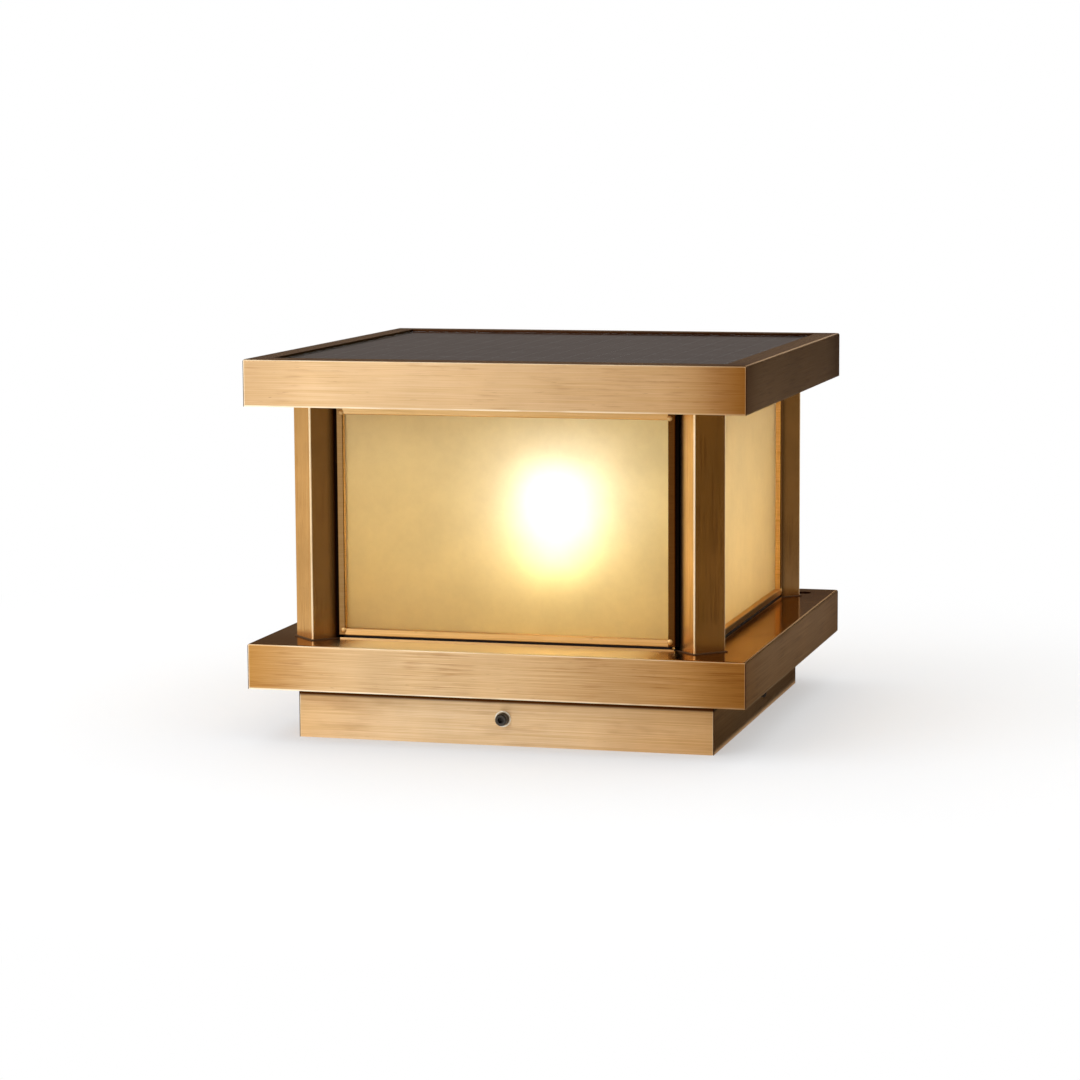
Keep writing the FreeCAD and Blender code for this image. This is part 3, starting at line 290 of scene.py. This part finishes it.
# ---- pane frames ---------------------------------------------------------------------------------
# Thin brass bars round each pane, mitred and soldered at the corners; the upright bars carry a painted shade,
# darker on the right.
give(aged_brass("dark_brass_bar", (40, 40, 0.35), (40, 0.35, 40), polish=0.30, top_polish=0.30, drawn=0.6,
                warm="#f0c68c", deep="#d6ac6a", smears=0.15, uprights=True),
     *["pane_frame_" + side for side in sides])


# ---- solder lumps --------------------------------------------------------------------------------
# Near each frame's corners a small lump of tin solder stands on the mitre, wiped and half filed away.
# It has gone the frame's yellow, with a duller and softer shine than the drawn bars.
def lantern_piece(name, shape, made):
    """Makes a finished bmesh a piece that rides on the lantern."""
    bmesh.ops.recalc_face_normals(shape, faces=shape.faces)
    mesh = bpy.data.meshes.new(name)
    shape.to_mesh(mesh)
    shape.free()
    mesh.materials.append(made)
    piece = bpy.data.objects.new(name, mesh)
    bpy.context.scene.collection.objects.link(piece)
    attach(piece, "lantern")


def only_verts(geometry):
    return [part for part in geometry if isinstance(part, bmesh.types.BMVert)]


def all_round(shape):
    """Repeats what a bmesh holds on all four sides of the lantern."""
    first = shape.verts[:] + shape.edges[:] + shape.faces[:]
    for quarter in (1, 2, 3):
        copy = bmesh.ops.duplicate(shape, geom=first)["geom"]
        bmesh.ops.rotate(shape, verts=only_verts(copy), matrix=Matrix.Rotation(math.pi / 2 * quarter, 3, "Z"))


frame_face, frame_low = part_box("pane_frame_front")[0][1:]
frame_half, _, frame_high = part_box("pane_frame_front")[1]
to_lump = 2.5 * MM
lump_radius = 1.4 * MM
lump_flatness = 0.4
solder = bmesh.new()
for x in (-1, 1):
    for level in (frame_low + to_lump, frame_high - to_lump):
        lump = bmesh.ops.create_uvsphere(solder, u_segments=16, v_segments=10, radius=lump_radius)["verts"]
        bmesh.ops.scale(solder, vec=(1.0, lump_flatness, 1.0), verts=lump)
        bmesh.ops.translate(solder, vec=(x * (frame_half - to_lump), frame_face, level), verts=lump)
all_round(solder)
for face in solder.faces:
    face.smooth = True
tin = two_tones("wiped_solder", "#b98f55", "#dcb57c", 0.5, 0.42, relief=(0.4, 0.05), more={"Metallic": 1.0})
lantern_piece("solder_lumps", solder, tin)


# ---- corner sealant ------------------------------------------------------------------------------
# A run of black silicone fills the gap between each frame's edge and the post beside it, set back a little; it
# also stands in as painted shade for the dark gap.
post_middle = post_out * MM
post_corner = 83.87 * MM      # how far out the post's corner beside the frame is
run_front, run_rear = 99.6 * MM, 98.6 * MM
run = bmesh.new()
for x in (-1, 1):
    outline = [(frame_half, -run_front), (post_corner + run_front - post_middle, -run_front),
               (post_corner + run_rear - post_middle, -run_rear), (frame_half, -run_rear)]
    foot = run.faces.new([run.verts.new((x * across, along, frame_low)) for across, along in outline])
    top = bmesh.ops.extrude_face_region(run, geom=[foot])["geom"]
    bmesh.ops.translate(run, vec=(0, 0, frame_high - frame_low), verts=only_verts(top))
all_round(run)
lantern_piece("corner_sealant_and_shade", run, silicone)


# ---- brazed feet ---------------------------------------------------------------------------------
# The posts are brazed to the tray: a thin bead, brown with burnt flux, runs round the foot of each.
tray_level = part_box("tray")[1][2]
bead_inner, bead_outer = 12.75 * MM, 13.7 * MM
bead_height = 0.5 * MM
feet = bmesh.new()
for x in (-1, 1):
    for y in (-1, 1):
        inner = bmesh.ops.create_circle(feet, segments=4, radius=bead_inner)["verts"]
        outer = bmesh.ops.create_circle(feet, segments=4, radius=bead_outer)["verts"]
        edges = list({edge for vert in inner + outer for edge in vert.link_edges})
        bmesh.ops.bridge_loops(feet, edges=edges)
        bmesh.ops.translate(feet, vec=(x * post_middle, y * post_middle, tray_level), verts=inner + outer)
raised_bead = bmesh.ops.extrude_face_region(feet, geom=feet.faces[:])["geom"]
bmesh.ops.translate(feet, vec=(0, 0, bead_height), verts=only_verts(raised_bead))
flux = two_tones("burnt_brazing_flux", "#24150a", "#6b4520", 1.2, 0.55, detail=4.0, relief=(0.5, 0.1),
                 more={"Metallic": 0.4})
lantern_piece("brazed_feet", feet, flux)


# ---- set screw rims ------------------------------------------------------------------------------
# A thin bead of brass round each set screw, a hair proud of the collar; its near-white colour is a painted
# highlight.
ring_inner, ring_outer = 3.25 * MM, 4.1 * MM
ring_height, ring_round = 0.4 * MM, 0.22 * MM
rims = bmesh.new()
inner = bmesh.ops.create_circle(rims, segments=40, radius=ring_inner)["verts"]
outer = bmesh.ops.create_circle(rims, segments=40, radius=ring_outer)["verts"]
bmesh.ops.bridge_loops(rims, edges=list({edge for vert in inner + outer for edge in vert.link_edges}))
proud = bmesh.ops.extrude_face_region(rims, geom=rims.faces[:])["geom"]
bmesh.ops.translate(rims, vec=(0, 0, ring_height), verts=only_verts(proud))
front_loops = [part for part in proud if isinstance(part, bmesh.types.BMEdge) and len(part.link_faces) == 2
               and abs(part.verts[0].co.length - part.verts[1].co.length) < 0.01 * MM]
bmesh.ops.bevel(rims, geom=front_loops, offset=ring_round, segments=3, profile=0.5, affect="EDGES", material=-1)
bmesh.ops.rotate(rims, verts=rims.verts[:], matrix=Matrix.Rotation(math.pi / 2, 3, "X"))
screw_middle = (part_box("set_screw_front")[0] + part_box("set_screw_front")[1]) / 2
bmesh.ops.translate(rims, verts=rims.verts[:], vec=(screw_middle.x, -collar_half * MM, screw_middle.z))
all_round(rims)
highlit_bead = aged_brass("burnished_brass", (4, 4, 0.3), (4, 0.3, 4), polish=0.5, drawn=0.0, warm="#fff8ea",
                       deep="#fff0d6", smears=0.0)
lantern_piece("set_screw_rims", rims, highlit_bead)


# ---- sill strips ---------------------------------------------------------------------------------
# Thin brass strips along the foot of each frame, flush with it, in front of the rubber.
give(sheet_brass, "sill_strips")


# ---- glass panes ---------------------------------------------------------------------------------
# Four panes of amber glass, etched on both faces, a little uneven in tint.  The etching lets the globe show
# as a bright patch with a wide soft halo; the right-hand pane is darkened with painted shade, and all are darker
# towards the bottom.
def frosted_glass():
    made, tree, output = material("frosted_amber_glass")
    place = add(tree, "TexCoord").outputs["Object"]
    weave = add(tree, "TexNoise", {"Vector": place, "Scale": 1 / (1.1 * MM), "Detail": 2.0})
    relief = add(tree, "Bump", {"Height": weave.outputs["Fac"], "Strength": 0.25, "Distance": 0.1 * MM})
    axes = add(tree, "SeparateXYZ", {0: place})
    sideways = add(tree, "MapRange", {"Value": axes.outputs["X"], "From Min": -80 * MM, "From Max": 80 * MM})
    pour = add(tree, "Mix", {"Factor": sideways.outputs[0], 6: colour("#eedfb9"), 7: colour("#f7ecc0")},
               data_type="RGBA")
    # Darker and more amber towards the bottom.
    height = add(tree, "MapRange", {"Value": axes.outputs["Z"], "From Min": 55 * MM, "From Max": 150 * MM})
    height_tone = add(tree, "Mix", {"Factor": height.outputs[0], 6: colour("#f6e8bd"), 7: colour("#ffffff")},
                data_type="RGBA")
    deeper = add(tree, "Mix", {"Factor": 1.0, 6: pour.outputs[2], 7: height_tone.outputs[2]},
                 data_type="RGBA", blend_type="MULTIPLY")
    # Painted shade on the right-hand pane.
    far_side = add(tree, "Math", {0: axes.outputs["X"], 1: 90 * MM}, operation="GREATER_THAN")
    right_shaded = add(tree, "Mix", {"Factor": far_side.outputs[0], 6: deeper.outputs[2], 7: colour("#f3e4d6")},
                  data_type="RGBA", blend_type="MULTIPLY")
    cords = add(tree, "TexNoise", {"Vector": place, "Scale": 1 / (26 * MM), "Detail": 7.0, "Roughness": 0.72})
    uneven = add(tree, "MapRange", {"Value": cords.outputs["Fac"], "From Min": 0.36, "From Max": 0.64,
                                    "To Min": 0.86, "To Max": 1.07})
    tint = add(tree, "Mix", {"Factor": 1.0, 6: right_shaded.outputs[2], 7: uneven.outputs[0]},
               data_type="RGBA", blend_type="MULTIPLY")
    glass = add(tree, "BsdfPrincipled", {"Base Color": tint.outputs[2], "Roughness": 0.38, "IOR": 1.45,
                                         "Transmission Weight": 0.8, "Normal": relief.outputs[0]})
    milky = add(tree, "BsdfTranslucent", {"Color": colour("#f1dea4"), "Normal": relief.outputs[0]})
    hazy = add(tree, "BsdfPrincipled", {"Base Color": tint.outputs[2], "Roughness": 0.62, "IOR": 1.45,
                                        "Transmission Weight": 1.0, "Normal": relief.outputs[0]})
    etched = add(tree, "MixShader", {0: 0.35, 1: glass.outputs[0], 2: hazy.outputs[0]})
    body = add(tree, "MixShader", {0: 0.28, 1: etched.outputs[0], 2: milky.outputs[0]})
    through = add(tree, "BsdfTransparent", {"Color": colour("#fbf0d8")})
    ray = add(tree, "LightPath")
    whole = add(tree, "MixShader", {0: ray.outputs["Is Shadow Ray"], 1: body.outputs[0],
                                    2: through.outputs[0]})
    tree.links.new(whole.outputs[0], output.inputs["Surface"])
    return made


give(frosted_glass(), *["glass_pane_" + side for side in sides])


# ---- ceiling -------------------------------------------------------------------------------------
# Brass sheet across the posts, under the lid, with an opening to reach the bulb.
give(sheet_brass, "ceiling_plate")


# ---- lamp holder ---------------------------------------------------------------------------------
# Porcelain holder let into the tray, glazed white, with a threaded shell and a tongue of bright brass.
give(two_tones("glazed_porcelain", "#d8d3c8", "#efece4", 6, 0.22, detail=5.0, more={"Coat Weight": 0.4}),
     "lamp_holder")
bright_brass = aged_brass("bright_brass", (20, 20, 0.4), (20, 0.4, 20), polish=0.2, top_polish=0.2, drawn=0.3,
                          warm="#e2bf7c", deep="#caa25c")
give(bright_brass, "holder_shell", "holder_contact", "battery_contacts")


# ---- bulb ----------------------------------------------------------------------------------------
# A 45 mm opal globe bulb, lit, in a white housing on a nickel-plated screw shell.
globe_light, spilt_light = 11.0, 11.5
opal = two_tones("lit_opal_glass", "#fff0d2", "#fff6e2", 25, 0.3, detail=1.0,
                 more={"Emission Color": colour("#e2e9ff"), "Emission Strength": globe_light})
white = two_tones("moulded_white_plastic", "#dedbd3", "#eeece6", 0.8, 0.38, detail=2.0)
lit_white = two_tones("lit_white_plastic", "#dedbd3", "#eeece6", 0.8, 0.38, detail=2.0,
                      more={"Emission Color": colour("#fbf6de")})
plated = two_tones("nickel_plate", "#c9c4b8", "#c9c4b8", 3, (0.16, 0.32), more={"Metallic": 1.0})


def light_up(made):
    """The light that the globe spills into the upper end of the housing."""
    tree = made.node_tree
    shine = next(item for item in tree.nodes if item.type == "BSDF_PRINCIPLED")
    place = add(tree, "SeparateXYZ", {0: add(tree, "TexCoord").outputs["Object"]})
    spill = add(tree, "MapRange", {"Value": place.outputs["Z"], "From Min": 66 * MM, "From Max": 82 * MM,
                                   "To Max": spilt_light}, interpolation_type="SMOOTHSTEP")
    tree.links.new(spill.outputs[0], shine.inputs["Emission Strength"])


light_up(lit_white)
give(opal, "bulb_globe")
give(lit_white, "bulb_housing")
give(white, "led_board", "lead_clips")
give(plated, "bulb_screw_shell", "bulb_tip", "switch_nut")


# ---- battery, controller, switch and leads -------------------------------------------------------
# Everything electrical sits on the ceiling, out of sight under the lid: moulded black nylon, blue
# shrink-wrapped cells, a green circuit board and soft black leads.
grained = (0.2, 0.04)
give(two_tones("moulded_black_nylon", "#121212", "#242424", 0.7, 0.5, relief=grained),
     "battery_holder", "controller_components", "panel_plug", "switch_body", "bulb_insulator")
give(two_tones("blue_shrink_wrap", "#1d3f78", "#27508f", 9, 0.3, relief=grained), "battery_cells")
give(two_tones("green_circuit_board", "#0b4022", "#15582f", 2, 0.35, relief=grained), "controller_board")
give(two_tones("soft_black_sheath", "#151514", "#262524", 1.5, 0.55, relief=grained), "lamp_lead", "control_leads")


# ---- lid shell -----------------------------------------------------------------------------------
# The upper pan, folded like the tray, with a square opening in its top for the panel.
give(aged_brass("brushed_brass_lid", side_grain, top_grain, warm="#e4c096", smears=0.25, browned=(0.25, 1.0),
                rim=(lamp_half, 166.2, 189.4)), "lid_shell")
give(aged_brass("browned_brass_screw", (4, 4, 0.3), (4, 0.3, 4), polish=0.3, top_polish=0.3, drawn=0.0,
                warm="#9a7040", deep="#6d4a26"), "lid_screws")
give(two_tones("mill_aluminium", "#8e9092", "#a8aaac", 12, 0.45, relief=grained), "panel_carrier")


# ---- solar panel ---------------------------------------------------------------------------------
# Dark silicon strips on a white backsheet under toughened glass.  Thin silver bars cross each strip, and
# finer print lines run between them.
def silicon():
    made, tree, output = material("printed_silicon")
    place = add(tree, "SeparateXYZ", {0: add(tree, "TexCoord").outputs["Object"]})

    def lines(axis, pitch_mm, width_mm):
        step = add(tree, "Math", {0: place.outputs[axis], 1: pitch_mm * MM}, operation="WRAP")
        step.inputs[2].default_value = 0.0
        return add(tree, "Math", {0: step.outputs[0], 1: width_mm * MM}, operation="LESS_THAN").outputs[0]

    bars = lines("X", 12.0, 0.35)
    prints = lines("Y", 1.2, 0.25)
    base = add(tree, "Mix", {"Factor": prints, 6: colour("#25272b"), 7: colour("#3a3d42")}, data_type="RGBA")
    tint = add(tree, "Mix", {"Factor": bars, 6: base.outputs[2], 7: colour("#b9bcbf")}, data_type="RGBA")
    shine = add(tree, "BsdfPrincipled", {"Base Color": tint.outputs[2], "Roughness": 0.35})
    tree.links.new(shine.outputs[0], output.inputs["Surface"])
    return made


def clear_glass():
    made, tree, output = material("toughened_clear_glass")
    place = add(tree, "TexCoord").outputs["Object"]
    dust = add(tree, "TexNoise", {"Vector": place, "Scale": 1 / (20 * MM), "Detail": 5.0})
    rough = add(tree, "MapRange", {"Value": dust.outputs["Fac"], "To Min": 0.04, "To Max": 0.16})
    glass = add(tree, "BsdfPrincipled", {"Base Color": colour("#e9efec"), "Roughness": rough.outputs[0],
                                         "IOR": 1.5, "Transmission Weight": 1.0})
    through = add(tree, "BsdfTransparent", {"Color": colour("#eef3f0")})
    ray = add(tree, "LightPath")
    whole = add(tree, "MixShader", {0: ray.outputs["Is Shadow Ray"], 1: glass.outputs[0],
                                    2: through.outputs[0]})
    tree.links.new(whole.outputs[0], output.inputs["Surface"])
    return made


give(silicon(), "solar_cells")
give(clear_glass(), "solar_glass")
give(two_tones("white_backsheet", "#d6d6d2", "#e6e6e3", 3, 0.5, relief=grained), "solar_backsheet")


# ---- studio --------------------------------------------------------------------------------------
# A pale floor and a white background, with one large soft lamp at the front left.  Tall cards at the front,
# right, left and rear, with strips on the floor before them, are seen only in reflections: brass needs
# something darker than white to mirror.
def card(name, corners, made, glossy_only=True):
    shape = bmesh.new()
    shape.faces.new([shape.verts.new(Vector(corner)) for corner in corners])
    mesh = bpy.data.meshes.new(name)
    shape.to_mesh(mesh)
    shape.free()
    mesh.materials.append(made)
    piece = bpy.data.objects.new(name, mesh)
    bpy.context.scene.collection.objects.link(piece)
    if glossy_only:
        piece.visible_camera = False
        piece.visible_diffuse = False
        piece.visible_shadow = False
        piece.visible_transmission = False


def seen_rays(tree):
    """1 for rays that see a background: camera, glossy and transmission rays; 0 for those that light."""
    ray = add(tree, "LightPath")
    seen = add(tree, "Math", {0: ray.outputs["Is Camera Ray"], 1: ray.outputs["Is Transmission Ray"]},
               operation="MAXIMUM")
    return add(tree, "Math", {0: seen.outputs[0], 1: ray.outputs["Is Glossy Ray"]}, operation="MAXIMUM").outputs[0]


def floor_paper():
    made, tree, output = material("floor_paper")
    away = add(tree, "VectorMath", {0: add(tree, "TexCoord").outputs["Object"]}, operation="LENGTH")
    far = add(tree, "MapRange", {"Value": away.outputs["Value"], "From Min": 0.20, "From Max": 0.55,
                                 "To Min": 0.35}, interpolation_type="SMOOTHSTEP")
    burnt = add(tree, "Math", {0: far.outputs[0], 1: seen_rays(tree)}, operation="MULTIPLY")
    paper = add(tree, "BsdfPrincipled", {"Base Color": colour("#fafafa"), "Roughness": 0.9,
                                         "Specular IOR Level": 0.0})
    white = add(tree, "Emission", {"Color": colour("#ffffff"), "Strength": 1.0})
    whole = add(tree, "MixShader", {0: burnt.outputs[0], 1: paper.outputs[0], 2: white.outputs[0]})
    tree.links.new(whole.outputs[0], output.inputs["Surface"])
    return made


def card_face(code):
    made, tree, output = material("card_" + code[1:])
    face = add(tree, "Emission", {"Color": colour(code), "Strength": 1.0})
    tree.links.new(face.outputs[0], output.inputs["Surface"])
    return made


def flag(name, outline, code):
    """A flat card through the points given, in one even colour."""
    card(name + "_card", outline, card_face(code))


# Cards on the floor lie half a millimetre or a millimetre up, so that none shares the floor's level.
reach = 6.0
card("studio_floor", [(-reach, -reach, 0), (reach, -reach, 0), (reach, reach, 0), (-reach, reach, 0)],
     floor_paper(), glossy_only=False)
flag("front", [(-0.67, -3, 0), (-0.08, -3, 0), (-0.08, -3, 4), (-0.67, -3, 4)], "#c9a45f")
flag("front_floor", [(-0.67, -3, MM), (-0.08, -3, MM), (0.12, -0.25, MM), (0.08, -0.25, MM)], "#c9a45f")
flag("right", [(1.4, -1.05, 0), (1.45, 0.15, 0), (1.45, 0.15, 3), (1.4, -1.05, 3)], "#654d27")
flag("right_floor", [(1.4, -1.05, MM / 2), (1.45, 0.15, MM / 2), (0.14, 0.12, MM / 2), (0.14, -0.13, MM / 2),
                     (0.08, -0.17, MM / 2), (0.12, -0.4, MM / 2)], "#6c532b")
flag("left", [(-1.5, 0.2, 0), (-1.35, 0.75, 0), (-1.35, 0.75, 3), (-1.5, 0.2, 3)], "#dfc79f")
flag("left_floor", [(-1.5, 0.2, MM), (-1.35, 0.75, MM), (-0.35, 0.05, MM), (-0.35, -0.05, MM)], "#dfc79f")
flag("rear_left", [(-0.85, 1.3, 0), (0.02, 1.3, 0), (-0.4, 1.3, 3), (-1.55, 1.3, 3)], "#6e6560")
flag("rear_left_top", [(-1.55, 1.3, 3), (-0.4, 1.3, 3), (-0.4, -0.6, 3), (-1.55, -0.6, 3)], "#6e6560")
flag("rear_left_floor", [(-0.85, 1.3, MM), (0.02, 1.3, MM), (0.06, 0.14, MM), (-0.14, 0.14, MM)], "#6e6560")
flag("rear_right", [(0.18, 1.3, 0), (0.8, 1.3, 0), (0.8, 1.3, 3), (0.18, 1.3, 3)], "#3a3129")
flag("rear_right_floor", [(0.15, 1.3, MM), (0.8, 1.3, MM), (0.3, -0.12, MM), (0.15, -0.12, MM)], "#a8a7ab")
flag("rear_right_shade", [(0.15, 1.3, MM), (0.15, -0.12, MM), (0.106, -0.12, MM), (0.106, 1.3, MM)], "#443c34")


def softbox(name, place, aim, size, power):
    lamp = bpy.data.lights.new(name, "AREA")
    lamp.shape = "RECTANGLE"
    lamp.size, lamp.size_y = size
    lamp.energy = power
    lamp.color = colour("#e9f2ff")[:3]
    item = bpy.data.objects.new(name, lamp)
    item.location = place
    item.rotation_euler = (Vector(aim) - Vector(place)).to_track_quat("-Z", "Y").to_euler()
    bpy.context.scene.collection.objects.link(item)


softbox("key_softbox", (-1.7, -1.7, 1.0), (0, 0, 0.1), (2.6, 2.0), 28.0)

world = bpy.data.worlds.new("studio")
bpy.context.scene.world = world
world.use_nodes = True
sky = world.node_tree
sky.nodes.clear()
level = add(sky, "MapRange", {"Value": seen_rays(sky), "To Min": 0.98, "To Max": 1.0})
air = add(sky, "Background", {"Color": colour("#ffffff"), "Strength": level.outputs[0]})
end = add(sky, "OutputWorld")
sky.links.new(air.outputs[0], end.inputs["Surface"])


# ---- camera --------------------------------------------------------------------------------------
# A long lens, a little above the lid's level and round to the light's right, turned a hair clockwise.
turned = math.radians(15.259)
raised = math.radians(7.275)
rolled = math.radians(-0.322)
back = Vector((math.sin(turned) * math.cos(raised), -math.cos(turned) * math.cos(raised), math.sin(raised)))
right = Vector((math.cos(turned), math.sin(turned), 0.0))
up = back.cross(right)
level_right = right * math.cos(rolled) + up * math.sin(rolled)
level_up = up * math.cos(rolled) - right * math.sin(rolled)
aim = Vector((0, 0, 100 * MM)) - level_right * 9.06 * MM - level_up * 11.39 * MM
distance = 1666.8 * MM
lens = bpy.data.cameras.new("camera")
lens.sensor_width = 36.0
lens.lens = 107.4
lens.clip_start = 0.05
lens.clip_end = 50.0
camera = bpy.data.objects.new("camera", lens)
camera.matrix_world = Matrix((level_right, level_up, back)).transposed().to_4x4()
camera.location = aim + back * distance
bpy.context.scene.collection.objects.link(camera)
bpy.context.scene.camera = camera
bpy.context.scene.view_settings.view_transform = "Standard"
